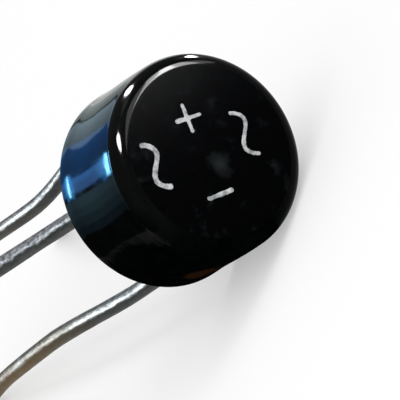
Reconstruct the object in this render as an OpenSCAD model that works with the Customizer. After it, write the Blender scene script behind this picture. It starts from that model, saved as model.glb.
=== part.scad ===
// Round four-lead diode bridge, lying on its lead-side rim and on the tips of its two lower leads.
// Units are millimetres. The axis of the body is Y: the marked face looks towards -Y, the leads
// run towards +Y, and the origin is the centre of the lead-side face. Up is +Z.

/* [Body] */
// Diameter of the body at its lead side
body_d = 9.4; // [9:0.1:10.4]
// Height of the body along its axis
body_h = 5.5; // [4.8:0.1:6.5]
// Draft: how much the radius shrinks from the lead side to the marked face
draft = 0.16; // [0.05:0.01:0.25]
// Radius of the rounded edge round the marked face
face_edge_r = 0.7; // [0.4:0.05:0.9]
// Radius of the small edge round the lead side
seat_edge_r = 0.15; // [0.08:0.01:0.25]
// Side wall of the moulded cup
side_wall = 0.45; // [0.3:0.05:0.5]
// Front wall of the moulded cup
face_wall = 0.9; // [0.6:0.1:1.2]

/* [Leads] */
// Diameter of the round wire
lead_d = 0.8; // [0.7:0.01:0.86]
// Side of the square on which the four leads stand
lead_pitch = 5.08; // [4.9:0.02:5.2]
// Length of each lead outside the body, measured along the wire
lead_len = 28; // [25.4:0.2:32]
// Straight stretch of each wire between the body and its first bend
start_run = 2.1; // [2.1:0.1:3]
// Radius of the bends in the wires
bend_r = 12; // [6:1:16]
// How far the plus lead leans out of its square, down and to the left
plus_offset = 1.3; // [0.6:0.1:1.6]
// Angle of the two bends that make that offset
plus_offset_angle = 9.5; // [8:0.5:12]
// Small offset of the minus lead beside the body, the same way
minus_offset = 0.22; // [0.2:0.02:0.4]
// Angle of the two bends that make that offset
minus_offset_angle = 5; // [4:0.5:6]
// Angle of the bend with which the minus lead starts to come down to the surface
minus_drop_angle = 5; // [4.5:0.5:8]
// Angle of its second bend the same way, near its tip
minus_tip_angle = 6; // [4:0.5:8]
// Straight stretch of the minus lead behind its tip
minus_tip_run = 3.5; // [2:0.5:5]
// Angle of the one slight bend of the left AC lead, to the left and up
left_lean_angle = 2; // [1:0.5:3]
// How far the right AC lead stands out of its square, sideways
right_offset = 2.7; // [2:0.1:3]
// Angle of the two bends that make that offset
right_offset_angle = 20; // [18:1:22]
// Angle of the bend with which the right AC lead comes down to the surface
right_drop_angle = 17; // [16:0.5:20]

/* [Inside] */
// Depth of the AC heads below the lead-side face
head_depth = 1.9; // [1.4:0.1:2.2]
// Thickness of the flat coined heads of the leads
head_t = 0.35; // [0.25:0.05:0.45]
// Diameter of the pads of the heads, over the dies
pad_d = 1.5; // [1.3:0.05:1.7]
// Side of a square silicon die
die_w = 1.4; // [1.1:0.05:1.5]
// Thickness of a die
die_t = 0.28; // [0.2:0.02:0.35]
// Diameter of a solder layer
solder_d = 1.3; // [1:0.05:1.4]
// Thickness of a solder layer
solder_t = 0.08; // [0.04:0.01:0.12]

/* [Marks] */
// Thickness of the printed ink
ink_t = 0.02; // [0.01:0.005:0.03]
// Width of the printed strokes
stroke_w = 0.26; // [0.2:0.01:0.32]
// Length of the strokes of the plus and minus signs
sign_len = 1.4; // [1:0.05:1.6]
// Height of the plus sign above the centre of the face
plus_y = 1.66; // [1.4:0.01:1.9]
// Depth of the minus sign below the centre of the face
minus_y = 1.9; // [1.4:0.1:2.4]
// Sideways distance of the wave signs from the middle of the printing
wave_x = 2.36; // [2:0.02:2.5]
// Height of the wave signs above the centre of the face
wave_y = 0.2; // [-0.2:0.05:0.5]
// Length of a wave sign from end to end
wave_len = 2.05; // [1.7:0.05:2.2]
// Swing of a wave sign to each side
wave_swing = 0.27; // [0.2:0.01:0.3]
// How far the printing sits off centre, to the left
print_shift = 0.45; // [0:0.05:0.5]
// Angle by which the printing is turned from the line of the plus lead
print_turn = 1; // [-5:0.5:5]

/* [Hidden] */

// Radius of the corner inside the cup
cavity_edge_r = 0.3;
// Least room between a wire and the wall of the cup
wire_gap = 0.1;
// A bend reaches this many degrees into the straight wire at each end, and is
// this much thinner, so that it lies inside the wire there
bend_lap = 1;
bend_slim = 0.004;
// Directions across the wires, counted from the right towards down: the lean of
// the plus and minus leads, the slant with which the right AC lead comes down, and
// the opposite one of the left AC lead
to_right = 0;
to_down = 90;
lean_dir = 125;
slant_dir = 33;
left_lean_dir = 213;

// Slope of the side wall and its angle
draft_angle = atan(draft / body_h);
cavity_r = body_d / 2 - side_wall;
cavity_depth = body_h - face_wall;

// Depths of the layers of the diode stack below the lead-side face
solder_ac_depth = head_depth + head_t;
die_depth = solder_ac_depth + solder_t;
solder_dc_depth = die_depth + die_t;
head_dc_depth = solder_dc_depth + solder_t;

// Places of the leads and dies across the axis: right and down
half_pitch = lead_pitch / 2;
at_plus = [half_pitch, -half_pitch];
at_minus = [-half_pitch, half_pitch];
at_ac_left = [-half_pitch, -half_pitch];
at_ac_right = [half_pitch, half_pitch];
at_die_plus_left = [0, -half_pitch];
at_die_plus_right = [half_pitch, 0];
at_die_minus_left = [-half_pitch, 0];
at_die_minus_right = [0, half_pitch];

// Length along the wire of one bend; of the straight stretch between two opposite
// bends that shift the wire sideways; and of the whole shift
function arc_len(angle) = bend_r * angle * PI / 180;
function shift_run(offset, angle) = (offset - 2 * bend_r * (1 - cos(angle))) / sin(angle);
function shift_len(offset, angle) = 2 * arc_len(angle) + shift_run(offset, angle);
// How far a lower lead has to come down so that the edge of its tip meets the
// surface, when the tip points down by an angle
function drop(tip_angle) = body_d / 2 - half_pitch - lead_d / 2 * cos(tip_angle);
// Straight stretch behind a bend that takes the wire a distance aside at its end
function aside_run(aside, angle) = (aside - bend_r * (1 - cos(angle))) / sin(angle);

minus_steep = minus_drop_angle + minus_tip_angle;
minus_drop = drop(minus_steep) - minus_offset * sin(lean_dir);
minus_slope_run = (minus_drop - bend_r * (1 - cos(minus_steep)) - minus_tip_run * sin(minus_steep))
    / sin(minus_drop_angle);
minus_mid_run = lead_len - start_run - shift_len(minus_offset, minus_offset_angle)
    - arc_len(minus_steep) - minus_slope_run - minus_tip_run;
right_steep = asin(sin(right_drop_angle) * sin(slant_dir));
right_tip_run = aside_run(drop(right_steep) / sin(slant_dir), right_drop_angle);
right_mid_run = lead_len - start_run - shift_len(right_offset, right_offset_angle)
    - arc_len(right_drop_angle) - right_tip_run;
plus_tip_run = lead_len - start_run - shift_len(plus_offset, plus_offset_angle);
left_tip_run = lead_len - start_run - arc_len(left_lean_angle);

black = [0.06, 0.06, 0.07];
epoxy = [0.1, 0.1, 0.1];
tin = [0.72, 0.72, 0.7];
silicon = [0.35, 0.37, 0.42];
solder_grey = [0.6, 0.6, 0.62];
ink_white = [0.85, 0.85, 0.83];

$fn = 64;
wave_steps = 16;
cap_steps = 6;
// Angle through which a wave sign swings from its middle to each end
wave_turn = 250;

// Turns a shape drawn with its axis up so that the axis runs along the leads:
// its x stays to the right and its y points down
module along_leads() {
    rotate([-90, 0, 0]) children();
}

// A flat shape that fills the body from one depth below the lead side for a thickness
module layer(depth, thickness) {
    along_leads() translate([0, 0, -depth - thickness]) linear_extrude(thickness) children();
}

// Half section of a drum with draft: x is the radius, y the depth below its open side.
// The far edge is round, and so is the near one where near_r isn't 0
module drum_section(radius, depth, far_r, near_r) {
    side = [cos(draft_angle), sin(draft_angle)];
    far = [radius - (depth - far_r) * tan(draft_angle) - far_r / side.x, depth - far_r];
    near = [radius - near_r * tan(draft_angle) - near_r / side.x, near_r];
    polygon([
        [0, 0], [near.x, 0], if (near_r > 0) near, near + near_r * side,
        far + far_r * side, far, [far.x, depth], [0, depth]
    ]);
    translate(far) circle(far_r);
    if (near_r > 0) translate(near) circle(near_r);
}

// The drum itself, with its open side on the lead side and its depth towards the marked face
module drum(radius, depth, far_r, near_r) {
    rotate([90, 0, 0]) rotate_extrude() drum_section(radius, depth, far_r, near_r);
}

// The hollow of the cup, with a channel in its wall wherever a wire would come too near
module cavity() {
    drum(cavity_r, cavity_depth, cavity_edge_r, 0);
    for (corner = [at_plus, at_minus, at_ac_left, at_ac_right])
        layer(0, head_dc_depth + head_t) translate(corner) circle(r = lead_d / 2 + wire_gap);
}

// The flat coined head of a lead: an arm from the wire to a pad over each of its two dies
module head(corner, dies, depth) {
    layer(depth, head_t) {
        translate(corner) circle(d = lead_d);
        for (die = dies) {
            reach = die - corner;
            translate(die) circle(d = pad_d);
            translate(corner) rotate(atan2(reach.y, reach.x))
                translate([0, -lead_d / 2]) square([norm(reach), lead_d]);
        }
    }
}

// The part of a lead inside the body: its head, and the wire out to the lead side
module lead_inside(corner, dies, depth) {
    head(corner, dies, depth);
    layer(0, depth + head_t) translate(corner) circle(d = lead_d);
}

// A wire that follows its steps: [length] is a straight stretch, and
// [angle, direction] is a bend towards a direction across the wire
module wire(steps, i = 0) {
    if (i < len(steps)) {
        s = steps[i];
        if (len(s) == 1) {
            cylinder(d = lead_d, h = s[0]);
            translate([0, 0, s[0]]) wire(steps, i + 1);
        } else {
            rotate(s[1]) {
                translate([bend_r, 0, 0]) rotate([90, 0, 180]) rotate(-bend_lap)
                    rotate_extrude(angle = s[0] + 2 * bend_lap)
                        translate([bend_r, 0]) circle(d = lead_d - bend_slim);
                translate([bend_r * (1 - cos(s[0])), 0, bend_r * sin(s[0])])
                    rotate([0, s[0], 0]) rotate(-s[1]) wire(steps, i + 1);
            }
        }
    }
}

// A whole lead: the head and wire inside, and the bent wire outside
module lead(corner, dies, depth, steps) {
    color(tin) union() {
        lead_inside(corner, dies, depth);
        along_leads() translate(corner) wire(steps);
    }
}

// The two opposite bends that shift a wire sideways, with the stretch between them
function shift(offset, angle, direction) = [
    [angle, direction], [shift_run(offset, angle)], [angle, direction + 180]
];

module case_shell() {
    color(black) difference() {
        drum(body_d / 2, body_h, face_edge_r, seat_edge_r);
        cavity();
    }
}

module potting() {
    color(epoxy) difference() {
        cavity();
        lead_inside(at_plus, [at_die_plus_left, at_die_plus_right], head_dc_depth);
        lead_inside(at_minus, [at_die_minus_left, at_die_minus_right], head_dc_depth);
        lead_inside(at_ac_left, [at_die_plus_left, at_die_minus_left], head_depth);
        lead_inside(at_ac_right, [at_die_plus_right, at_die_minus_right], head_depth);
        for (at = [at_die_plus_left, at_die_plus_right, at_die_minus_left, at_die_minus_right]) {
            die(at);
            solder(at, solder_ac_depth);
            solder(at, solder_dc_depth);
        }
    }
}

module lead_plus() {
    lead(at_plus, [at_die_plus_left, at_die_plus_right], head_dc_depth, [
        [start_run], each shift(plus_offset, plus_offset_angle, lean_dir), [plus_tip_run]
    ]);
}

module lead_minus() {
    lead(at_minus, [at_die_minus_left, at_die_minus_right], head_dc_depth, [
        [start_run], each shift(minus_offset, minus_offset_angle, lean_dir), [minus_mid_run],
        [minus_drop_angle, to_down], [minus_slope_run], [minus_tip_angle, to_down], [minus_tip_run]
    ]);
}

module lead_ac_left() {
    lead(at_ac_left, [at_die_plus_left, at_die_minus_left], head_depth, [
        [start_run], [left_lean_angle, left_lean_dir], [left_tip_run]
    ]);
}

module lead_ac_right() {
    lead(at_ac_right, [at_die_plus_right, at_die_minus_right], head_depth, [
        [start_run], each shift(right_offset, right_offset_angle, to_right), [right_mid_run],
        [right_drop_angle, slant_dir], [right_tip_run]
    ]);
}

// A square silicon die
module die(at) {
    color(silicon) layer(die_depth, die_t) translate(at) square(die_w, center = true);
}

// A layer of solder between a die and the head of a lead
module solder(at, depth) {
    color(solder_grey) layer(depth, solder_t) translate(at) circle(d = solder_d);
}

// Printing on the marked face: x to the right and y up, in line with the plus lead
module print() {
    color(ink_white) translate([0, -body_h, 0]) rotate([90, 0, 0])
        rotate(print_turn - 45) translate([-print_shift, 0]) linear_extrude(ink_t) children();
}

module stroke(length) {
    square([length, stroke_w], center = true);
}

// Middle line of a wave sign that stands on end, and the direction in which it runs:
// the share goes from -1 at its lower end to 1 at its upper end
function wave_point(share) = [wave_swing * sin(wave_turn * share), wave_len / 2 * sin(90 * share)];
function wave_heading(share) =
    let (along = wave_point(share + 0.01) - wave_point(share - 0.01)) atan2(along.y, along.x);
// A point on the edge of the stroke, at an angle from the heading of its middle line
function edge_point(share, angle) =
    let (a = wave_heading(share) + angle) wave_point(share) + stroke_w / 2 * [cos(a), sin(a)];

module wave_sign() {
    shares = [for (i = [-wave_steps:wave_steps]) i / wave_steps];
    caps = [for (i = [1:cap_steps - 1]) 180 * i / cap_steps];
    polygon([
        for (s = shares) edge_point(s, 90),
        for (a = caps) edge_point(1, 90 - a),
        for (s = shares) edge_point(-s, -90),
        for (a = caps) edge_point(-1, -90 - a)
    ]);
}

module mark_plus() {
    print() translate([0, plus_y]) {
        stroke(sign_len);
        rotate(90) stroke(sign_len);
    }
}

module mark_minus() {
    print() translate([0, -minus_y]) stroke(sign_len);
}

module mark_ac_left() {
    print() translate([-wave_x, wave_y]) wave_sign();
}

module mark_ac_right() {
    print() translate([wave_x, wave_y]) wave_sign();
}

case_shell();
potting();
lead_plus();
lead_minus();
lead_ac_left();
lead_ac_right();
die(at_die_plus_left);  // die_plus_left
die(at_die_plus_right);  // die_plus_right
die(at_die_minus_left);  // die_minus_left
die(at_die_minus_right);  // die_minus_right
solder(at_die_plus_left, solder_ac_depth);  // solder_plus_left_ac
solder(at_die_plus_left, solder_dc_depth);  // solder_plus_left_dc
solder(at_die_plus_right, solder_ac_depth);  // solder_plus_right_ac
solder(at_die_plus_right, solder_dc_depth);  // solder_plus_right_dc
solder(at_die_minus_left, solder_ac_depth);  // solder_minus_left_ac
solder(at_die_minus_left, solder_dc_depth);  // solder_minus_left_dc
solder(at_die_minus_right, solder_ac_depth);  // solder_minus_right_ac
solder(at_die_minus_right, solder_dc_depth);  // solder_minus_right_dc
mark_plus();
mark_minus();
mark_ac_left();
mark_ac_right();
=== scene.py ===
"""Looks of a round four-lead diode bridge: a glossy black moulded cup with printed signs on its
face, filled with epoxy on its lead side, with four bent tinned wires.

Metres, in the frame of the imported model: the axis of the body is Y, the marked face looks towards
-Y, the leads run towards +Y, and up is +Z. The lengths of the part are in millimetres below and
become metres where the meshes are made.

The case is dressed in two closed pieces, its face and its cup, because the small bright lamps that
draw the highlights on the round edge of the face would leave white bars on the side.
"""
import math

import bmesh
import bpy
from mathutils import Matrix, Vector, noise


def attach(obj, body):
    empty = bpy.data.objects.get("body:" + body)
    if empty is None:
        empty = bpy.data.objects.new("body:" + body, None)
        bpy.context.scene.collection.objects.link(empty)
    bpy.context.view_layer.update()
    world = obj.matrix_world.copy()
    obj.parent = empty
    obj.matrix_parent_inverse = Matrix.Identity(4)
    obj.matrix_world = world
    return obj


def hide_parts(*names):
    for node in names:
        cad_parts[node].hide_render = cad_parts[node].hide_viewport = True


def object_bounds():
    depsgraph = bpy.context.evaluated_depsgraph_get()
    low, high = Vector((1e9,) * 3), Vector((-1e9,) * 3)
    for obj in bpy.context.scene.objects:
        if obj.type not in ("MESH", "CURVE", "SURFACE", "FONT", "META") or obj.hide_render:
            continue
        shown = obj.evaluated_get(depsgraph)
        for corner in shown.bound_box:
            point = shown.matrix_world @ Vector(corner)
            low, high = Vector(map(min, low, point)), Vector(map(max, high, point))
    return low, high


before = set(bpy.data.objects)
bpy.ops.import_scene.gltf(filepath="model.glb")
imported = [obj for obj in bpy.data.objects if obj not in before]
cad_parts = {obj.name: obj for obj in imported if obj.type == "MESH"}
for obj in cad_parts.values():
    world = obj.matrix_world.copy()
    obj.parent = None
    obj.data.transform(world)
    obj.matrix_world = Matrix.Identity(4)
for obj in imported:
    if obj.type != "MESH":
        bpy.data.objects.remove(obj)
cad_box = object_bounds()

MM = 0.001
TURN = 2 * math.pi
# The tolerance with which two places count as the same
TINY = 0.001

# The body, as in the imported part
BODY_R = 4.7
BODY_H = 5.5
DRAFT = 0.16
FACE_EDGE_R = 0.7
SEAT_EDGE_R = 0.15
CAVITY_R = 4.25
CAVITY_DEPTH = 4.6
CAVITY_EDGE_R = 0.3
# Moulding leaves a shallow ripple along the side, and a steeper ring near each of its ends
SIDE_RIPPLE = 0.008
RIPPLE_HALF_WAVES = 2.5
RIPPLE_FADE = 0.3
RING_HEIGHT = 0.012
RING_WIDTH = 0.3
RINGS_AT = (-4.6, -0.75)
# The turned case: steps round it, and along its face, its round edges and its side
CASE_SEGMENTS = 256
FACE_STEPS = 40
FACE_EDGE_STEPS = 40
SEAT_EDGE_STEPS = 12
CAVITY_EDGE_STEPS = 8
SIDE_STEPS = 90
# The step of the side, counted from the face, where the two pieces of the case meet
SEAM_STEP = 1
# Where the moulding was broken from its gate, low on the left of the side, with a painted brown
# reflection on its torn mark, how ragged the borders round that place are, and the distances
# between which the torn mark and its painted reflection fade, the roughness fades and the gloss
# comes back
GATE_AND_PAINTED_REFLECTION_AT = (-3.7, -2.1, -2.75)
GATE_RAGGED = 0.9
TORN_ENDS = (1.1, 1.45)
ROUGH_ENDS = (2.3, 4.3)
GLOSS_BACK = (4.4, 5.8)

# The cast surface of the resin: its dip, its unevenness, how high and how far out it climbs the
# wall and the wires, and how far below the rim it stays at least
FILL_DIP = 0.07
FILL_WAVES = 0.018
WALL_CLIMB = 0.06
WALL_REACH = 0.16
WIRE_CLIMB = 0.07
WIRE_REACH = 0.14
FILL_BELOW_RIM = 0.004
# Its gap to the wall, its innermost ring, and its steps
FILL_GAP = 0.002
FILL_HUB_R = 0.048
FILL_RINGS = 72
FILL_SEGMENTS = 224
# The hidden end of the resin, as (radius, y)
FILL_BASE = ((4.12, -4.3), (3.8, -4.59))

# The leads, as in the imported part
LEAD_R = 0.4
HALF_PITCH = 2.54
LEAD_LEN = 28
START_RUN = 2.1
BEND_R = 12
PLUS_OFFSET = 1.3
PLUS_OFFSET_ANGLE = 9.5
MINUS_OFFSET = 0.22
MINUS_OFFSET_ANGLE = 5
MINUS_DROP_ANGLE = 5
MINUS_TIP_ANGLE = 6
MINUS_TIP_RUN = 3.5
LEFT_LEAN_ANGLE = 2
RIGHT_OFFSET = 2.7
RIGHT_OFFSET_ANGLE = 20
RIGHT_DROP_ANGLE = 17
# Directions across the wires, counted from the right towards down
TO_RIGHT = 0
TO_DOWN = 90
LEAN_DIR = 125
SLANT_DIR = 33
LEFT_LEAN_DIR = 213

# Each wire leaves the body at one corner of a square, as (x, z)
WIRE_CORNERS = {
    "lead_plus": (HALF_PITCH, HALF_PITCH),
    "lead_minus": (-HALF_PITCH, -HALF_PITCH),
    "lead_ac_left": (-HALF_PITCH, HALF_PITCH),
    "lead_ac_right": (HALF_PITCH, -HALF_PITCH),
}
WIRE_SEGMENTS = 36
WIRE_STEP = 0.14
# Passes of smoothing that spread the bends of the wires, from a little outside the body on
EASE_PASSES = 220
EASE_FROM = 0.3
# Two of the wires are a little flattened far out, and so wider along this direction. They thin by
# a part of what they widen
FLAT_ACROSS = (0.58, 0, 0.81)
FLAT_FROM = 5
FLAT_RUN = 9
FLAT_THINNING = 0.7
LEFT_FLAT_SHARE = 0.19
MINUS_FLAT_SHARE = 0.13
# Dents of the wires, and the slanted and slightly rounded cut of their tips
WIRE_THINNER = 0.008
WIRE_DENT = 0.012
WIRE_FINE_DENT = 0.005
SHEAR_DEPTH = 0.09
SHEAR_RUN = 0.6
TIP_ROUND = 0.05
TIP_ROUND_RUN = 0.06

# The side of the wires that is painted dark as shade, and the stretch along which their stains grow
PAINTED_SHADE_SIDE = (-0.85, 0, -0.52)
STAIN_GROWS = (9, 20)
TIN_DARK = (0.20, 0.22, 0.23)
TIN_LIGHT = (0.62, 0.66, 0.68)

# The flat heads of the leads inside the body, with the dies soldered between two layers of them
HEAD_T = 0.35
HEAD_THINNER = 0.01
PAD_R = 0.75
PAD_STEPS = 28
DIE_T = 0.28
SOLDER_T = 0.08
HEAD_AC_DEPTH = 1.9
HEAD_DC_DEPTH = HEAD_AC_DEPTH + HEAD_T + DIE_T + 2 * SOLDER_T

# The printing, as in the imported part
INK_T = 0.02
STROKE_W = 0.26
SIGN_LEN = 1.4
PLUS_Y = 1.66
MINUS_Y = 1.9
WAVE_X = 2.36
WAVE_Y = 0.2
WAVE_LEN = 2.05
WAVE_SWING = 0.27
WAVE_TURN = 250
PRINT_SHIFT = 0.45
PRINT_ANGLE = -44
# The strokes run a little past their places. The bar of the plus sign lies to the right and
# sinks a little, and its upright leans from the first of two places to the second
STROKE_PAST = 0.02
PLUS_BAR_X = 0.06
PLUS_BAR_SINKS = 0.01
PLUS_UPRIGHT_X = (-0.01, 0.03)
# The grid from which the ink is cut, with room round the strokes, and its film: thin at the edge
# and full a little further in
INK_CELL = 0.022
INK_MARGIN = 0.2
INK_EDGE_SHARE = 0.35
INK_EDGE_RUN = 0.05
# How softly two strokes flow together, how rough the edge is at three sizes, and what it loses
INK_BLEND = 0.03
INK_WAVER = 0.030
INK_ROUGH = 0.018
INK_FINE_ROUGH = 0.010
INK_SHRINK = 0.004
# A rubbed spot on the face, and the distances from there between which it fades
SMUDGE_AT = (-0.43, -5.5, -0.55)
SMUDGE_ENDS = (0.15, 0.75)

# The camera: where it aims, how far it is, and how it looks there
CAMERA_AIM = (0.768, 0.742, -2.473)
CAMERA_DISTANCE = 113.3
CAMERA_AZIMUTH = -26.42
CAMERA_ELEVATION = 17.61
CAMERA_ROLL = 62.23
CAMERA_LENS = 225
SENSOR_WIDTH = 36

# The stage, in metres
FLOOR_HALF = 3.0
LAMP_AWAY = 0.5
STRIP_AWAY = 0.038
# How far the floor is brought to plain white
FLOOR_WHITENING = 0.42
# The room is brightest in this direction. Its brightness goes by the share that a direction has
# in it, from the first share to the second
ROOM_BRIGHT_SIDE = (0.0, -0.45, 0.80)
ROOM_SHARES = (-0.10, 0.80)
ROOM_BRIGHTNESS = (0.06, 1.34)


# ---------------------------------------------------------------- meshes

def mesh_piece(name, mesh, material):
    """A piece of the object from a bmesh in millimetres. It rides on the part's only body."""
    bmesh.ops.recalc_face_normals(mesh, faces=mesh.faces)
    bmesh.ops.scale(mesh, vec=(MM, MM, MM), verts=mesh.verts)
    data = bpy.data.meshes.new(name)
    mesh.to_mesh(data)
    mesh.free()
    for polygon in data.polygons:
        polygon.use_smooth = True
    piece = bpy.data.objects.new(name, data)
    bpy.context.scene.collection.objects.link(piece)
    data.materials.append(material)
    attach(piece, "root")
    return piece


def arc_points(centre, radius, start, end, count):
    """Points on an arc of a half section, with angles in degrees from the radial direction."""
    points = []
    for i in range(count + 1):
        angle = math.radians(start + (end - start) * i / count)
        points.append((centre[0] + radius * math.cos(angle), centre[1] + radius * math.sin(angle)))
    return points


def axis_ring(mesh, radius, height, segments):
    """A ring of vertices round the Y axis. Their height is a function of x and z."""
    ring = []
    for i in range(segments):
        angle = TURN * i / segments
        x, z = radius * math.cos(angle), radius * math.sin(angle)
        ring.append(mesh.verts.new((x, height(x, z), z)))
    return ring


def join_rings(mesh, rings):
    """Faces between rings of vertices that follow one another."""
    for a, b in zip(rings, rings[1:]):
        for i in range(len(a)):
            j = (i + 1) % len(a)
            mesh.faces.new((a[i], a[j], b[j], b[i]))


def close_ring(mesh, ring, middle):
    """Closes a ring with faces that meet in its middle."""
    tip = mesh.verts.new(middle)
    for i in range(len(ring)):
        mesh.faces.new((ring[i], ring[(i + 1) % len(ring)], tip))


def turn_on_axis(mesh, profile, segments):
    """Turns a half section of (radius, y) round the Y axis. Its two ends are on the axis."""
    rings = [axis_ring(mesh, radius, lambda x, z: y, segments) for radius, y in profile[1:-1]]
    join_rings(mesh, rings)
    close_ring(mesh, rings[0], (0, profile[0][1], 0))
    close_ring(mesh, rings[-1], (0, profile[-1][1], 0))


def spread(start, end, count):
    """Evenly spaced values from start to end."""
    return [start + (end - start) * i / count for i in range(count + 1)]


def sine(degrees):
    """The sine of an angle in degrees."""
    return math.sin(math.radians(degrees))


def cosine(degrees):
    """The cosine of an angle in degrees."""
    return math.cos(math.radians(degrees))


# ---------------------------------------------------------------- materials

class Shader:
    """A node material with one Principled shader, built by short calls."""

    def __init__(self, name):
        self.material = bpy.data.materials.new(name)
        self.material.use_nodes = True
        self.tree = self.material.node_tree
        self.shader = self.tree.nodes["Principled BSDF"]
        surface = self.tree.nodes.new("ShaderNodeTexCoord")
        self.place = surface.outputs["Object"]
        self.facing = surface.outputs["Normal"]

    def link(self, source, socket):
        """Feeds a socket with another one's output, or with a value."""
        if isinstance(source, bpy.types.NodeSocket):
            self.tree.links.new(source, socket)
        else:
            socket.default_value = source

    def add(self, kind, inputs, output=0, **settings):
        """A new node, its settings and inputs, and one of its outputs."""
        node = self.tree.nodes.new(kind)
        for key, value in settings.items():
            setattr(node, key, value)
        for key, value in inputs.items():
            self.link(value, node.inputs[key])
        return node.outputs[output]

    def scaled(self, factors):
        """The place on the object, stretched by a factor along each axis."""
        return self.add("ShaderNodeMapping", {"Vector": self.place, "Scale": factors})

    def noise(self, per_mm, detail=3, rough=0.5, place=None, distortion=0):
        """Cloudy values between 0 and 1, with so many clouds in a millimetre."""
        return self.add("ShaderNodeTexNoise", {
            "Vector": place or self.place, "Scale": per_mm / MM, "Detail": detail,
            "Roughness": rough, "Distortion": distortion})

    def cells(self, per_mm):
        """Distance to the nearest of scattered points."""
        return self.add("ShaderNodeTexVoronoi", {
            "Vector": self.place, "Scale": per_mm / MM}, "Distance")

    def remap(self, value, low, high, to_low, to_high):
        """A value between two limits, moved between two others."""
        return self.add("ShaderNodeMapRange", {
            "Value": value, "From Min": low, "From Max": high,
            "To Min": to_low, "To Max": to_high})

    def math(self, operation, a, b):
        """One number from two."""
        return self.add("ShaderNodeMath", {0: a, 1: b}, operation=operation)

    def gap_to(self, point):
        """The distance to a point that is given in millimetres."""
        return self.add("ShaderNodeVectorMath", {0: self.place, 1: [c * MM for c in point]}, 1,
                        operation="DISTANCE")

    def fade(self, gap, ends, near, far):
        """A value that goes from near to far between two distances in millimetres."""
        return self.remap(gap, ends[0] * MM, ends[1] * MM, near, far)

    def blend(self, factor, a, b):
        """Colour a where the factor is 0, and b where it is 1."""
        node = self.tree.nodes.new("ShaderNodeMix")
        node.data_type = "RGBA"
        self.link(factor, node.inputs[0])
        self.link((*a, 1) if isinstance(a, tuple) else a, node.inputs[6])
        self.link((*b, 1) if isinstance(b, tuple) else b, node.inputs[7])
        return node.outputs[2]

    def bump(self, height, depth_mm, normal=None):
        """Relief from a height between 0 and 1, so many millimetres deep."""
        inputs = {"Height": height, "Strength": 1.0, "Distance": depth_mm * MM}
        if normal is not None:
            inputs["Normal"] = normal
        return self.add("ShaderNodeBump", inputs)

    def finish(self, **inputs):
        """Sets the shader's inputs, named with _ for spaces, and returns the material."""
        for key, value in inputs.items():
            self.link(value, self.shader.inputs[key.replace("_", " ")])
        return self.material


def black_moulding():
    """Glossy black epoxy moulding with a faint ripple and rubbed spots. Low on one side is the
    rough mark where it was broken from its gate, coloured with a painted brown reflection, in a
    wide dull zone."""
    s = Shader("black_moulding")
    ripple = s.noise(0.8, detail=1)
    rubbed = s.remap(s.noise(1.4, detail=4, rough=0.6), 0.35, 0.7, 0.0, 1.0)
    torn = s.noise(3.5, detail=4, rough=0.65)
    ragged = s.math("ADD", s.gap_to(GATE_AND_PAINTED_REFLECTION_AT), s.math("MULTIPLY", torn, GATE_RAGGED * MM))
    gate_and_painted_reflection = s.fade(ragged, TORN_ENDS, 1.0, 0.0)
    matt = s.fade(ragged, ROUGH_ENDS, 0.42, 0.0)
    level = s.fade(ragged, GLOSS_BACK, 0.0, 0.035)
    # Painted reflection: the brown of the torn mark stands for a brown surface mirrored low on the
    # side
    brown_painted_reflection = s.blend(torn, (0.0015, 0.0008, 0.0005), (0.036, 0.0155, 0.0068))
    base = s.blend(rubbed, (0.0004, 0.0005, 0.0006), (0.0013, 0.0017, 0.0018))
    base = s.blend(gate_and_painted_reflection, base, brown_painted_reflection)
    rough = s.math("ADD", s.remap(rubbed, 0.0, 1.0, 0.06, 0.12), matt)
    rough = s.add("ShaderNodeMix", {0: gate_and_painted_reflection, 2: rough, 3: 0.55})
    relief = s.bump(ripple, 0.003)
    relief = s.bump(s.noise(9, detail=2), 0.0006, relief)
    relief = s.bump(s.math("MULTIPLY", gate_and_painted_reflection, torn), 0.05, relief)
    return s.finish(Base_Color=base, Roughness=rough, Normal=relief, Specular_IOR_Level=level)


def black_face():
    """The flat face of the same moulding: fine grain, smudges and specks of dust."""
    s = Shader("black_face")
    grain = s.noise(26, detail=2, rough=0.6)
    dust = s.remap(s.cells(3.2), 0.02, 0.07, 1.0, 0.0)
    here = s.remap(s.noise(0.9, detail=2), 0.55, 0.7, 0.0, 1.0)
    specks = s.math("MULTIPLY", s.math("MULTIPLY", dust, here), 0.3)
    cloud = s.noise(0.9, detail=5, rough=0.65)
    near = s.fade(s.gap_to(SMUDGE_AT), SMUDGE_ENDS, 0.30, 0.0)
    smudge = s.remap(s.math("ADD", cloud, near), 0.56, 0.90, 0.0, 1.0)
    base = s.blend(smudge, (0.0003, 0.0004, 0.0006), (0.013, 0.016, 0.017))
    base = s.blend(specks, base, (0.10, 0.11, 0.11))
    rough = s.remap(grain, 0.3, 0.7, 0.12, 0.22)
    relief = s.bump(s.noise(0.8, detail=1), 0.003)
    relief = s.bump(grain, 0.004, relief)
    return s.finish(Base_Color=base, Roughness=rough, Normal=relief, Specular_IOR_Level=0.007)


def epoxy_fill():
    """Dull dark casting resin with fine grain and pinholes."""
    s = Shader("epoxy_fill")
    grain = s.noise(14, detail=4, rough=0.65)
    cloud = s.noise(0.7, detail=4)
    pits_and_painted_shade = s.remap(s.cells(2.4), 0.03, 0.09, 0.0, 1.0)
    base = s.blend(cloud, (0.008, 0.008, 0.009), (0.022, 0.021, 0.021))
    # Painted shade: the pinholes are coloured darker than the resin round them
    base = s.blend(pits_and_painted_shade, (0.003, 0.003, 0.003), base)
    rough = s.remap(cloud, 0.3, 0.7, 0.42, 0.62)
    relief = s.bump(cloud, 0.03)
    relief = s.bump(pits_and_painted_shade, 0.02, relief)
    relief = s.bump(grain, 0.006, relief)
    return s.finish(Base_Color=base, Roughness=rough, Normal=relief, Specular_IOR_Level=0.35)


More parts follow.
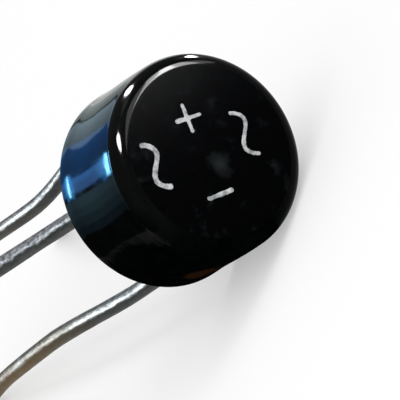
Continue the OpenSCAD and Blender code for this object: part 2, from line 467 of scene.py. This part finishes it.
def tinned_wire(name, dark, light, stained):
    """Hot-tinned copper wire between two greys: grain, flecks and drawing marks, painted dark as
    shade along the side that faces away from the lamps, and browner far out by some share."""
    s = Shader(name)
    grain = s.noise(6, detail=4, rough=0.7, place=s.scaled((1.0, 0.40, 1.0)), distortion=0.4)
    flecks = s.noise(2.6, detail=4, rough=0.6, place=s.scaled((1.0, 0.22, 1.0)), distortion=0.5)
    streaks = s.noise(8, detail=3, rough=0.65, place=s.scaled((1.0, 0.05, 1.0)))
    patch = s.noise(0.7, detail=3, place=s.scaled((1.0, 0.4, 1.0)))
    out = s.add("ShaderNodeSeparateXYZ", {"Vector": s.place}, "Y")
    far = s.fade(out, STAIN_GROWS, 0.0, 1.0)
    mottle = s.math("ADD", s.math("MULTIPLY", grain, 0.65), s.math("MULTIPLY", flecks, 0.35))
    base = s.blend(s.remap(mottle, 0.40, 0.58, 0.0, 1.0), dark, light)
    base = s.blend(s.remap(streaks, 0.45, 0.62, 0.0, 0.6), base, tuple(0.6 * c for c in dark))
    stain = s.math("MULTIPLY", s.remap(patch, 0.38, 0.60, 0.25 * stained, 0.97 * stained), far)
    base = s.blend(stain, base, s.blend(grain, (0.08, 0.056, 0.032), (0.31, 0.24, 0.145)))
    # Painted shade and painted dark reflection: the side that faces away from the lamps turns dark,
    # browner far out, and stops being metal
    away = s.add("ShaderNodeVectorMath", {0: s.facing, 1: PAINTED_SHADE_SIDE}, 1, operation="DOT_PRODUCT")
    ragged = s.math("ADD", away, s.math("MULTIPLY", flecks, 0.9))
    painted_shade = s.remap(ragged, 0.70, 0.96, 0.0, 0.95)
    brown_painted_reflection = s.blend(stained, (0.040, 0.036, 0.028), (0.120, 0.074, 0.022))
    base = s.blend(painted_shade, base, s.blend(far, (0.020, 0.022, 0.020), brown_painted_reflection))
    rough = s.remap(flecks, 0.35, 0.65, 0.46, 0.34)
    relief = s.bump(flecks, 0.014)
    relief = s.bump(grain, 0.010, relief)
    relief = s.bump(streaks, 0.006, relief)
    return s.finish(Base_Color=base, Roughness=rough, Normal=relief,
                    Metallic=s.math("SUBTRACT", 1.0, painted_shade), Specular_IOR_Level=0.06)


def white_ink():
    """Printed ink that lies thinner and thicker, with the black showing through a little."""
    s = Shader("white_ink")
    cover = s.noise(2.6, detail=5, rough=0.7)
    fine = s.noise(22, detail=2)
    base = s.blend(s.remap(cover, 0.34, 0.58, 0.0, 1.0), (0.15, 0.165, 0.17), (0.54, 0.555, 0.56))
    rough = s.remap(fine, 0.3, 0.7, 0.5, 0.7)
    return s.finish(Base_Color=base, Roughness=rough, Normal=s.bump(fine, 0.004),
                    Specular_IOR_Level=0.3)


def silicon():
    """Sawn silicon with a metal film."""
    s = Shader("silicon_die")
    marks = s.noise(20, detail=3, place=s.scaled((1.0, 1.0, 0.1)))
    base = s.blend(marks, (0.22, 0.24, 0.29), (0.36, 0.38, 0.42))
    rough = s.remap(marks, 0.3, 0.7, 0.25, 0.45)
    return s.finish(Base_Color=base, Roughness=rough, Normal=s.bump(marks, 0.003), Metallic=1.0)


def solder():
    """Soft solder that has run between two metal faces."""
    s = Shader("solder_layer")
    flow = s.noise(6, detail=4)
    base = s.blend(flow, (0.42, 0.42, 0.43), (0.62, 0.62, 0.63))
    rough = s.remap(flow, 0.3, 0.7, 0.35, 0.55)
    return s.finish(Base_Color=base, Roughness=rough, Normal=s.bump(flow, 0.01), Metallic=1.0)


MOULDING = black_moulding()
FACE = black_face()
EPOXY = epoxy_fill()
WIRE = tinned_wire("tinned_wire", TIN_DARK, TIN_LIGHT, 0.25)
STAINED_WIRE = tinned_wire("stained_wire", TIN_DARK, TIN_LIGHT, 1.0)
DULL_WIRE = tinned_wire("dull_wire", (0.15, 0.155, 0.165), (0.80, 0.84, 0.90), 0.4)
INK = white_ink()
SILICON = silicon()
SOLDER = solder()


# ---------------------------------------------------------------- body

def side_relief(share, y):
    """How far the side stands off its draft line: the ripple and the two rings."""
    fade = math.sin(math.pi * share) ** RIPPLE_FADE
    ripple = -SIDE_RIPPLE * math.sin(RIPPLE_HALF_WAVES * math.pi * (share - 0.5)) * fade

    def rings(at):
        """The steps of both rings up to a height."""
        return RING_HEIGHT * sum(math.tanh((at - ring) / RING_WIDTH) for ring in RINGS_AT)

    start, end = FACE_EDGE_R - BODY_H, -SEAT_EDGE_R
    return ripple + rings(y) - rings(start) * (1 - share) - rings(end) * share


def case_pieces():
    """The moulded case, turned: its face with the round edge, and behind a seam at the foot of
    that edge the side with its draft, the rim and the cavity."""
    draft_angle = math.degrees(math.atan(DRAFT / BODY_H))
    lean = math.tan(math.radians(draft_angle))
    side = math.cos(math.radians(draft_angle))
    face_centre = (BODY_R - (BODY_H - FACE_EDGE_R) * lean - FACE_EDGE_R / side,
                   FACE_EDGE_R - BODY_H)
    seat_centre = (BODY_R - SEAT_EDGE_R * lean - SEAT_EDGE_R / side, -SEAT_EDGE_R)
    inner_centre = (CAVITY_R - (CAVITY_DEPTH - CAVITY_EDGE_R) * lean - CAVITY_EDGE_R / side,
                    CAVITY_EDGE_R - CAVITY_DEPTH)
    face = [(r, -BODY_H) for r in spread(0, face_centre[0], FACE_STEPS)[:-1]]
    edge = arc_points(face_centre, FACE_EDGE_R, -90, -draft_angle, FACE_EDGE_STEPS)
    seat = arc_points(seat_centre, SEAT_EDGE_R, -draft_angle, 90, SEAT_EDGE_STEPS)
    wall = []
    for share in spread(0, 1, SIDE_STEPS)[1:-1]:
        y = edge[-1][1] + (seat[0][1] - edge[-1][1]) * share
        drafted = edge[-1][0] + (seat[0][0] - edge[-1][0]) * share
        wall.append((drafted + side_relief(share, y), y))
    inner = arc_points(inner_centre, CAVITY_EDGE_R, -draft_angle, -90, CAVITY_EDGE_STEPS)
    seam = wall[SEAM_STEP][1]
    front = turned_case("case_face", face + edge + wall[:SEAM_STEP + 1] + [(0, seam)], seam)
    front.data.materials.append(FACE)
    for polygon in front.data.polygons:
        if polygon.center.y < -(BODY_H - TINY) * MM:
            polygon.material_index = 1
    cavity = [(CAVITY_R, 0)] + inner + [(0, -CAVITY_DEPTH)]
    back = turned_case("case_cup", [(0, seam)] + wall[SEAM_STEP:] + seat + cavity, seam)
    return front, back


def turned_case(name, profile, seam):
    """One piece of the case, with a sharp edge at its seam only."""
    mesh = bmesh.new()
    turn_on_axis(mesh, profile, CASE_SEGMENTS)
    for edge in mesh.edges:
        on_seam = all(abs(v.co.y - seam) < TINY and v.co.xz.length > TINY for v in edge.verts)
        edge.smooth = not on_seam
    piece = mesh_piece(name, mesh, MOULDING)
    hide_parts("case_shell")
    return piece


def fill_height(x, z):
    """Where the cast surface lies: it dips, and climbs the wall and the wires."""
    radius = math.hypot(x, z)
    low = -FILL_DIP + FILL_WAVES * noise.noise(Vector((x * 0.7, z * 0.7, 3.1)))
    climb = math.exp(-(CAVITY_R - radius) / WALL_REACH) * WALL_CLIMB
    for wire_x, wire_z in WIRE_CORNERS.values():
        gap = max(math.hypot(x - wire_x, z - wire_z) - LEAD_R, 0)
        climb += math.exp(-gap / WIRE_REACH) * WIRE_CLIMB
    return min(low + climb, -FILL_BELOW_RIM)


def resin_fill():
    """The casting resin that closes the lead side."""
    mesh = bmesh.new()
    radii = spread(FILL_HUB_R, CAVITY_R - FILL_GAP, FILL_RINGS)
    rings = [axis_ring(mesh, radius, fill_height, FILL_SEGMENTS) for radius in radii]
    for radius, y in FILL_BASE:
        rings.append(axis_ring(mesh, radius, lambda x, z: y, FILL_SEGMENTS))
    join_rings(mesh, rings)
    close_ring(mesh, rings[0], (0, fill_height(0, 0), 0))
    close_ring(mesh, rings[-1], (0, FILL_BASE[-1][1], 0))
    piece = mesh_piece("resin_fill", mesh, EPOXY)
    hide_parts("potting")


# ---------------------------------------------------------------- leads

def arc_len(angle):
    """The length of wire in one bend."""
    return BEND_R * math.radians(angle)


def shift_run(offset, angle):
    """The straight stretch between two opposite bends that shift a wire sideways."""
    return (offset - 2 * BEND_R * (1 - cosine(angle))) / sine(angle)


def shift_len(offset, angle):
    """The length of wire in the two bends and the stretch between them."""
    return 2 * arc_len(angle) + shift_run(offset, angle)


def drop(tip_angle):
    """How far a lower lead comes down until the edge of its tip meets the surface."""
    return BODY_R - HALF_PITCH - LEAD_R * cosine(tip_angle)


def shift(offset, angle, direction):
    """The steps of two opposite bends that shift a wire sideways."""
    return [(angle, direction), (shift_run(offset, angle),), (angle, direction + 180)]


def lead_steps():
    """The straight stretches (length,) and bends (angle, direction) of each lead."""
    outside = LEAD_LEN - START_RUN
    steep = MINUS_DROP_ANGLE + MINUS_TIP_ANGLE
    minus_drop = drop(steep) - MINUS_OFFSET * sine(LEAN_DIR)
    slope_drop = minus_drop - BEND_R * (1 - cosine(steep)) - MINUS_TIP_RUN * sine(steep)
    slope = slope_drop / sine(MINUS_DROP_ANGLE)
    minus_rest = outside - shift_len(MINUS_OFFSET, MINUS_OFFSET_ANGLE)
    minus_mid = minus_rest - arc_len(steep) - slope - MINUS_TIP_RUN
    right_steep = math.degrees(math.asin(sine(RIGHT_DROP_ANGLE) * sine(SLANT_DIR)))
    right_aside = drop(right_steep) / sine(SLANT_DIR)
    right_tip = (right_aside - BEND_R * (1 - cosine(RIGHT_DROP_ANGLE))) / sine(RIGHT_DROP_ANGLE)
    right_rest = outside - shift_len(RIGHT_OFFSET, RIGHT_OFFSET_ANGLE)
    right_mid = right_rest - arc_len(RIGHT_DROP_ANGLE) - right_tip
    plus_tip = outside - shift_len(PLUS_OFFSET, PLUS_OFFSET_ANGLE)
    left_tip = outside - arc_len(LEFT_LEAN_ANGLE)
    start = [(START_RUN,)]
    return {
        "lead_plus": start + shift(PLUS_OFFSET, PLUS_OFFSET_ANGLE, LEAN_DIR) + [(plus_tip,)],
        "lead_minus": start + shift(MINUS_OFFSET, MINUS_OFFSET_ANGLE, LEAN_DIR) + [
            (minus_mid,), (MINUS_DROP_ANGLE, TO_DOWN), (slope,),
            (MINUS_TIP_ANGLE, TO_DOWN), (MINUS_TIP_RUN,)],
        "lead_ac_left": start + [(LEFT_LEAN_ANGLE, LEFT_LEAN_DIR), (left_tip,)],
        "lead_ac_right": start + shift(RIGHT_OFFSET, RIGHT_OFFSET_ANGLE, TO_RIGHT) + [
            (right_mid,), (RIGHT_DROP_ANGLE, SLANT_DIR), (right_tip,)],
    }


def follow(steps, start, depth):
    """Points and directions along a wire, from its head in the body to its tip."""
    right, down, ahead = Vector((1, 0, 0)), Vector((0, 0, -1)), Vector((0, 1, 0))
    place = Vector(start) - depth * ahead
    path = [(place.copy(), ahead.copy(), right.copy())]
    for step in [(depth,)] + steps:
        if len(step) == 1:
            count = max(1, round(step[0] / WIRE_STEP))
            for i in range(1, count + 1):
                path.append((place + ahead * step[0] * i / count, ahead.copy(), right.copy()))
            place = path[-1][0].copy()
            continue
        angle, direction = step
        across = right * cosine(direction) + down * sine(direction)
        axis = ahead.cross(across)
        count = max(4, round(arc_len(angle) / WIRE_STEP))
        for i in range(1, count + 1):
            part = angle * i / count
            turned = Matrix.Rotation(math.radians(part), 3, axis)
            there = place + BEND_R * (1 - cosine(part)) * across + BEND_R * sine(part) * ahead
            path.append((there, turned @ ahead, turned @ right))
        turned = Matrix.Rotation(math.radians(angle), 3, axis)
        place = path[-1][0].copy()
        right, down, ahead = turned @ right, turned @ down, turned @ ahead
    return path


def eased(path):
    """The same wire with its bends spread out; its ends stay where they are."""
    places = [place for place, _, _ in path]
    first = next(i for i, place in enumerate(places) if place.y > EASE_FROM)
    for _ in range(EASE_PASSES):
        places[first:-1] = [(a + 2 * b + c) / 4 for a, b, c in
                            zip(places[first - 1:], places[first:], places[first + 1:])]
    right = path[0][2]
    smooth = []
    for i, place in enumerate(places):
        ahead = (places[min(i + 1, len(places) - 1)] - places[max(i - 1, 0)]).normalized()
        right = (right - right.dot(ahead) * ahead).normalized()
        smooth.append((place, ahead, right))
    return smooth


def wire_radius(seed, along, angle):
    """The wire's radius with its shallow dents: never more than its nominal one."""
    around = Vector((math.cos(angle), math.sin(angle), 0)) * 0.9
    dent = noise.noise(Vector((around.x + seed, around.y, along * 0.35)))
    fine = noise.noise(Vector((around.x * 2.2, around.y * 2.2 + seed, along * 1.3)))
    return LEAD_R - WIRE_THINNER - WIRE_DENT * dent - WIRE_FINE_DENT * fine


def wire_ring(mesh, point, seed, along, to_tip, flat):
    """A ring of vertices round a wire: dented, flattened far out, and sheared at the tip."""
    place, ahead, right = point
    down = ahead.cross(right)
    across = Vector(FLAT_ACROSS).normalized()
    squeeze = flat * min(1.0, max(0.0, (place.y - FLAT_FROM) / FLAT_RUN))
    ring = []
    for i in range(WIRE_SEGMENTS):
        angle = TURN * i / WIRE_SEGMENTS
        radius = wire_radius(seed, along, angle)
        if to_tip < TIP_ROUND_RUN:
            radius -= TIP_ROUND * (1 - to_tip / TIP_ROUND_RUN)
        slant = SHEAR_DEPTH * (1 - math.cos(angle - seed)) * max(0.0, 1 - to_tip / SHEAR_RUN)
        around = right * math.cos(angle) + down * math.sin(angle)
        wide = across * around.dot(across)
        around += (wide - (around - wide) * FLAT_THINNING) * squeeze
        ring.append(mesh.verts.new(place + radius * around - ahead * slant))
    return ring


def lead_wire(node, dies, depth, steps, seed, material, flat):
    """A lead: the round wire with its dents and sheared tip, and the flat head in the body."""
    corner = WIRE_CORNERS[node]
    path = eased(follow(steps, (corner[0], 0, corner[1]), depth + HEAD_T))
    total = sum((b[0] - a[0]).length for a, b in zip(path, path[1:]))
    mesh = bmesh.new()
    rings = []
    along = 0.0
    last = path[0][0]
    for point in path:
        along += (point[0] - last).length
        last = point[0]
        rings.append(wire_ring(mesh, point, seed, along, total - along, flat))
    join_rings(mesh, rings)
    for ring in (rings[0], rings[-1]):
        close_ring(mesh, ring, sum((v.co for v in ring), Vector()) / len(ring))
    for die in dies:
        head_arm(mesh, corner, die, depth)
    piece = mesh_piece(node.replace("lead", "wire"), mesh, material)
    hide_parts(node)
    return piece


def head_arm(mesh, corner, die, depth):
    """The flat arm of a head, from its wire to the round pad over a die."""
    wire = Vector((corner[0], 0, corner[1]))
    pad = Vector((die[0], 0, die[1]))
    way = (pad - wire).normalized()
    side = Vector((-way.z, 0, way.x))
    reach = math.sqrt(PAD_R ** 2 - LEAD_R ** 2)
    half = math.degrees(math.atan2(LEAD_R, reach))
    outline = [wire - side * LEAD_R]
    for angle in spread(-180 + half, 180 - half, PAD_STEPS):
        outline.append(pad + PAD_R * (way * cosine(angle) + side * sine(angle)))
    outline.append(wire + side * LEAD_R)
    front_y = Vector((0, HEAD_THINNER - depth - HEAD_T, 0))
    back_y = Vector((0, -depth, 0))
    front = [mesh.verts.new(point + front_y) for point in outline]
    back = [mesh.verts.new(point + back_y) for point in outline]
    mesh.faces.new(front)
    mesh.faces.new(list(reversed(back)))
    for i in range(len(outline)):
        j = (i + 1) % len(outline)
        mesh.faces.new((front[i], front[j], back[j], back[i]))


def all_leads():
    """The four leads, each with the dies that its head holds, how deep the head lies, the seed of
    its dents, its metal and how far it is flattened. Returns the pieces by node."""
    steps = lead_steps()
    top, left, right, low = (0, HALF_PITCH), (-HALF_PITCH, 0), (HALF_PITCH, 0), (0, -HALF_PITCH)
    plan = (("lead_plus", (top, right), HEAD_DC_DEPTH, 1.3, WIRE, 0),
            ("lead_minus", (left, low), HEAD_DC_DEPTH, 4.1, STAINED_WIRE, MINUS_FLAT_SHARE),
            ("lead_ac_left", (top, left), HEAD_AC_DEPTH, 7.9, DULL_WIRE, LEFT_FLAT_SHARE),
            ("lead_ac_right", (right, low), HEAD_AC_DEPTH, 2.6, DULL_WIRE, 0))
    return {node: lead_wire(node, dies, depth, steps[node], seed, material, flat)
            for node, dies, depth, seed, material, flat in plan}


# ---------------------------------------------------------------- printing

def wave_line(centre_x):
    """The middle line of a wave sign that stands on end."""
    return [(centre_x + WAVE_SWING * sine(WAVE_TURN * share),
             WAVE_Y + WAVE_LEN / 2 * sine(90 * share))
            for share in spread(-1, 1, 40)]


def to_line(x, y, line):
    """The distance from a point to a line of points."""
    best = math.inf
    for (ax, ay), (bx, by) in zip(line, line[1:]):
        dx, dy = bx - ax, by - ay
        t = ((x - ax) * dx + (y - ay) * dy) / (dx * dx + dy * dy)
        t = min(1.0, max(0.0, t))
        best = min(best, math.hypot(x - ax - t * dx, y - ay - t * dy))
    return best


def ink_inside(x, y, lines, half, seed):
    """How far a point is inside the ink, whose strokes have a rough edge; below 0 outside."""
    near = sum(math.exp(-to_line(x, y, line) / INK_BLEND) for line in lines)
    rough = INK_ROUGH * noise.noise(Vector((x * 7 + seed, y * 7, 0)))
    rough += INK_FINE_ROUGH * noise.noise(Vector((x * 22, y * 22 + seed, 1)))
    rough += INK_WAVER * noise.noise(Vector((x * 1.6, y * 1.6 + seed, 2)))
    return half + INK_BLEND * math.log(max(near, 1e-9)) + rough - INK_SHRINK


def to_ink_edge(x, y, inside):
    """A point near the edge of the ink, moved onto it in a few steps down the slope."""
    reach = 0.004
    for _ in range(3):
        here = inside(x, y)
        slope_x = (inside(x + reach, y) - inside(x - reach, y)) / (2 * reach)
        slope_y = (inside(x, y + reach) - inside(x, y - reach)) / (2 * reach)
        square = max(slope_x * slope_x + slope_y * slope_y, 0.2)
        x -= here * slope_x / square
        y -= here * slope_y / square
    return x, y


def ink_mark(node, lines, seed, thinner):
    """A film of ink along some lines, thick in its middle and with a slightly rough edge, printed
    thinner on each side than the stroke was meant to be."""

    def inside(x, y):
        """How far a point is inside this mark."""
        return ink_inside(x, y, lines, STROKE_W / 2 - thinner, seed)

    xs = [x for line in lines for x, _ in line]
    ys = [y for line in lines for _, y in line]
    x0, y0 = min(xs) - INK_MARGIN, min(ys) - INK_MARGIN
    columns = int((max(xs) + INK_MARGIN - x0) / INK_CELL) + 1
    rows = int((max(ys) + INK_MARGIN - y0) / INK_CELL) + 1
    inked = {(i, j): inside(x0 + i * INK_CELL, y0 + j * INK_CELL) > 0
             for i in range(columns + 1) for j in range(rows + 1)}
    # A cell is kept where the ink covers three of its corners
    kept = {(i, j) for i in range(columns) for j in range(rows)
            if inked[i, j] + inked[i, j + 1] + inked[i + 1, j] + inked[i + 1, j + 1] >= 3}
    touching = {}
    for i, j in kept:
        for corner in ((i, j), (i + 1, j), (i + 1, j + 1), (i, j + 1)):
            touching[corner] = touching.get(corner, 0) + 1
    mesh = bmesh.new()
    top, bottom = {}, {}
    for (i, j), cells in touching.items():
        x, y = x0 + i * INK_CELL, y0 + j * INK_CELL
        share = INK_EDGE_SHARE
        if cells < 4:
            x, y = to_ink_edge(x, y, inside)
        else:
            share += (1 - INK_EDGE_SHARE) * min(1.0, max(0.0, inside(x, y)) / INK_EDGE_RUN)
        u = (x - PRINT_SHIFT) * cosine(PRINT_ANGLE) - y * sine(PRINT_ANGLE)
        v = (x - PRINT_SHIFT) * sine(PRINT_ANGLE) + y * cosine(PRINT_ANGLE)
        top[i, j] = mesh.verts.new((u, -BODY_H - INK_T * share, v))
        bottom[i, j] = mesh.verts.new((u, -BODY_H, v))
    for i, j in kept:
        a, b, c, d = (i, j), (i + 1, j), (i + 1, j + 1), (i, j + 1)
        mesh.faces.new((top[a], top[b], top[c], top[d]))
        mesh.faces.new((bottom[d], bottom[c], bottom[b], bottom[a]))
        for p, q, beside in ((a, b, (i, j - 1)), (b, c, (i + 1, j)),
                             (c, d, (i, j + 1)), (d, a, (i - 1, j))):
            if beside not in kept:
                mesh.faces.new((top[q], top[p], bottom[p], bottom[q]))
    piece = mesh_piece(node.replace("mark", "ink"), mesh, INK)
    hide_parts(node)


def all_marks():
    """The four printed signs, each thinner than its nominal stroke."""
    reach = SIGN_LEN / 2 - STROKE_W / 2 + STROKE_PAST
    bar = [(PLUS_BAR_X - reach, PLUS_Y), (PLUS_BAR_X + reach, PLUS_Y - PLUS_BAR_SINKS)]
    upright = [(PLUS_UPRIGHT_X[0], PLUS_Y - reach), (PLUS_UPRIGHT_X[1], PLUS_Y + reach)]
    ink_mark("mark_plus", [bar, upright], seed=0.7, thinner=0.040)
    ink_mark("mark_minus", [[(-reach, -MINUS_Y), (reach, -MINUS_Y)]], seed=5.2, thinner=0.024)
    ink_mark("mark_ac_left", [wave_line(-WAVE_X)], seed=9.4, thinner=0.012)
    ink_mark("mark_ac_right", [wave_line(WAVE_X)], seed=3.3, thinner=0.038)


# ---------------------------------------------------------------- stage

def floor():
    """A wide pale floor under the part."""
    low = cad_box[0][2]
    data = bpy.data.meshes.new("floor")
    around = ((-1, -1), (1, -1), (1, 1), (-1, 1))
    corners = [(x * FLOOR_HALF, y * FLOOR_HALF, low) for x, y in around]
    data.from_pydata(corners, [], [(0, 1, 2, 3)])
    plane = bpy.data.objects.new("floor", data)
    bpy.context.scene.collection.objects.link(plane)
    s = Shader("pale_floor")
    tone = s.noise(0.002, detail=2)
    base = s.blend(tone, (0.955, 0.955, 0.955), (0.965, 0.965, 0.965))
    s.finish(Base_Color=base, Roughness=0.9, Specular_IOR_Level=0.0)
    data.materials.append(s.material)
    lighten_backdrop(s.tree, s.shader)


def lighten_backdrop(tree, shader):
    """Brings the floor nearer to plain white for the camera, gloss and glass alike, so that the
    shadow on it stays but is lighter."""
    path = tree.nodes.new("ShaderNodeLightPath")
    seen = path.outputs["Is Camera Ray"]
    for kind in ("Is Glossy Ray", "Is Transmission Ray"):
        both = tree.nodes.new("ShaderNodeMath")
        both.operation = "MAXIMUM"
        tree.links.new(seen, both.inputs[0])
        tree.links.new(path.outputs[kind], both.inputs[1])
        seen = both.outputs[0]
    share = tree.nodes.new("ShaderNodeMath")
    share.operation = "MULTIPLY"
    share.inputs[1].default_value = FLOOR_WHITENING
    tree.links.new(seen, share.inputs[0])
    white = tree.nodes.new("ShaderNodeEmission")
    white.inputs["Strength"].default_value = 1.0
    mix = tree.nodes.new("ShaderNodeMixShader")
    tree.links.new(share.outputs[0], mix.inputs[0])
    tree.links.new(shader.outputs[0], mix.inputs[1])
    tree.links.new(white.outputs[0], mix.inputs[2])
    tree.links.new(mix.outputs[0], tree.nodes["Material Output"].inputs["Surface"])


def lamp(name, direction, size, radiance, colour=(1, 1, 1), along=(0, 0, 1), only=None,
         oval=False, away_by=LAMP_AWAY):
    """A soft lamp that faces the part from a direction. Size is its length, which lies along
    another direction, and its width. Where pieces are given, it shows in their gloss only."""
    data = bpy.data.lights.new(name, "AREA")
    data.shape = "ELLIPSE" if oval else "RECTANGLE"
    data.size, data.size_y = size
    area = size[0] * size[1] * (math.pi / 4 if oval else 1)
    data.energy = radiance * math.pi * area
    data.color = colour
    ob = bpy.data.objects.new(name, data)
    bpy.context.scene.collection.objects.link(ob)
    away = Vector(direction).normalized()
    length = Vector(along)
    length = (length - length.dot(away) * away).normalized()
    turn = Matrix((length, away.cross(length), away)).transposed().to_4x4()
    ob.matrix_world = Matrix.Translation(away * away_by) @ turn
    ob.visible_camera = False
    if only:
        ob.visible_diffuse = False
        lit = bpy.data.collections.new(name + "_lit")
        for piece in only:
            lit.objects.link(piece)
        ob.light_linking.receiver_collection = lit


def edge_lamps(face):
    """The lamps that draw three spots and a soft arc on the round edge of the face."""
    lamp("upper_box", (0.640, -0.075, 0.765), (0.085, 0.27), 430, along=(1, 0, 0), only=face,
         oval=True)
    lamp("front_box", (0.007, -0.629, 0.777), (0.27, 0.10), 430, along=(0, 1, 0), only=face,
         oval=True)
    lamp("side_box", (0.993, 0.010, 0.054), (0.045, 0.17), 330, only=face, oval=True)
    # Three strips close in front of the face lie one over the other, so that the arc fades
    # towards its borders
    lamp("strip_core", (0.606, -0.795, 0.050), (0.0130, 0.0032), 190, along=(0.78, 0, 0.63),
         only=face, away_by=STRIP_AWAY)
    lamp("strip_middle", (0.588, -0.808, 0.030), (0.0145, 0.011), 85, along=(0.72, 0, 0.69),
         only=face, away_by=STRIP_AWAY)
    lamp("strip_wide", (0.565, -0.825, 0.025), (0.0145, 0.034), 16, along=(0.72, 0, 0.69),
         only=face, away_by=STRIP_AWAY)


def side_lamps(case):
    """The panels behind the part that its glossy side mirrors, from the pale one on the right
    over the blue ones above to the dim ones on the left."""
    lamp("warm_panel", (0.52, 0.845, 0.092), (0.125, 0.17), 0.93, (0.84, 1.0, 0.99),
         along=(-0.17, 0, 0.98), only=case)
    lamp("grey_panel", (0.388, 0.845, 0.361), (0.15, 0.17), 2.1, (0.62, 0.85, 1.0),
         along=(-0.68, 0, 0.73), only=case)
    lamp("blue_panel", (0.13, 0.84, 0.51), (0.20, 0.12), 2.5, (0.01, 0.29, 1.0),
         along=(-1, 0, 0.1), only=case)
    lamp("blue_band", (-0.085, 0.842, 0.532), (0.075, 0.10), 8, (0.11, 0.36, 1.0),
         along=(1, 0, 0.2), only=case)
    lamp("cyan_glow", (-0.110, 0.80, 0.58), (0.125, 0.050), 16, (0.04, 0.36, 1.0),
         along=(1, 0, 0.2), only=case)
    lamp("cyan_strip", (-0.110, 0.79, 0.60), (0.115, 0.022), 115, (0.27, 0.72, 1.0),
         along=(1, 0, 0.2), only=case)
    aside, behind = 0.53, 0.845
    for i, turn in enumerate((118, 123, 128, 133)):
        direction = (aside * cosine(turn), behind, aside * sine(turn))
        length = 0.05 + 0.046 * i
        lamp("dim_panel_%d" % i, direction, (length, 0.17), 0.5, (0.34, 0.76, 1.0),
             along=(sine(turn), 0, -cosine(turn)), only=case)
    lamp("rim_panel", (0.74, 0.60, 0.28), (0.26, 0.22), 3.2, only=case)


def wire_lamps(wires):
    """One panel behind and above the wires, brighter for the two that shine more."""
    bright = (wires["lead_plus"], wires["lead_minus"])
    dull = (wires["lead_ac_left"], wires["lead_ac_right"])
    for name, radiance, lit in (("lead_box", 5.5, bright), ("dull_lead_box", 1.6, dull)):
        lamp(name, (-0.30, 0.82, 0.45), (0.26, 0.22), radiance, (0.94, 0.98, 1.0),
             along=(1, 0, 1), only=lit)


def room():
    """A plain room that is brighter above and in front."""
    world = bpy.data.worlds.new("studio")
    bpy.context.scene.world = world
    world.use_nodes = True
    nodes, links = world.node_tree.nodes, world.node_tree.links
    lean = nodes.new("ShaderNodeVectorMath")
    lean.operation = "DOT_PRODUCT"
    lean.inputs[1].default_value = ROOM_BRIGHT_SIDE
    links.new(nodes.new("ShaderNodeTexCoord").outputs["Generated"], lean.inputs[0])
    ramp = nodes.new("ShaderNodeMapRange")
    ramp.inputs["From Min"].default_value, ramp.inputs["From Max"].default_value = ROOM_SHARES
    ramp.inputs["To Min"].default_value, ramp.inputs["To Max"].default_value = ROOM_BRIGHTNESS
    links.new(lean.outputs["Value"], ramp.inputs["Value"])
    links.new(ramp.outputs[0], nodes["Background"].inputs["Strength"])
    nodes["Background"].inputs["Color"].default_value = (1, 1, 1, 1)


def studio(case, wires):
    """The room and its lamps. All but the key lamp show in the gloss of some pieces only."""
    lamp("key", (0.50, -0.45, 0.74), (0.16, 0.16), 4)
    edge_lamps(case[:1])
    side_lamps(case)
    wire_lamps(wires)
    room()


def camera():
    """The camera of the photograph."""
    azimuth, elevation, roll = (math.radians(a) for a in
                                (CAMERA_AZIMUTH, CAMERA_ELEVATION, CAMERA_ROLL))
    back = Vector((math.sin(azimuth) * math.cos(elevation),
                   -math.cos(azimuth) * math.cos(elevation), math.sin(elevation)))
    level = Vector((math.cos(azimuth), math.sin(azimuth), 0))
    upright = back.cross(level)
    up = upright * math.cos(roll) + level * math.sin(roll)
    right = level * math.cos(roll) - upright * math.sin(roll)
    data = bpy.data.cameras.new("camera")
    data.lens = CAMERA_LENS
    data.sensor_width = SENSOR_WIDTH
    data.clip_start = 0.005
    data.clip_end = 20
    ob = bpy.data.objects.new("camera", data)
    turn = Matrix((right, up, back)).transposed().to_4x4()
    place = Vector(CAMERA_AIM) * MM + back * CAMERA_DISTANCE * MM
    ob.matrix_world = Matrix.Translation(place) @ turn
    bpy.context.scene.collection.objects.link(ob)
    bpy.context.scene.camera = ob


def dies_and_solder():
    """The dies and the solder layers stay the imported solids, with materials of their own."""
    for name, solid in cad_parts.items():
        if name.startswith(("die", "solder")):
            solid.data.materials.clear()
            solid.data.materials.append(SILICON if name.startswith("die") else SOLDER)


camera()
case_front_and_back = case_pieces()
resin_fill()
wires_by_lead = all_leads()
all_marks()
dies_and_solder()
floor()
studio(case_front_and_back, wires_by_lead)
bpy.context.scene.view_settings.view_transform = "Standard"
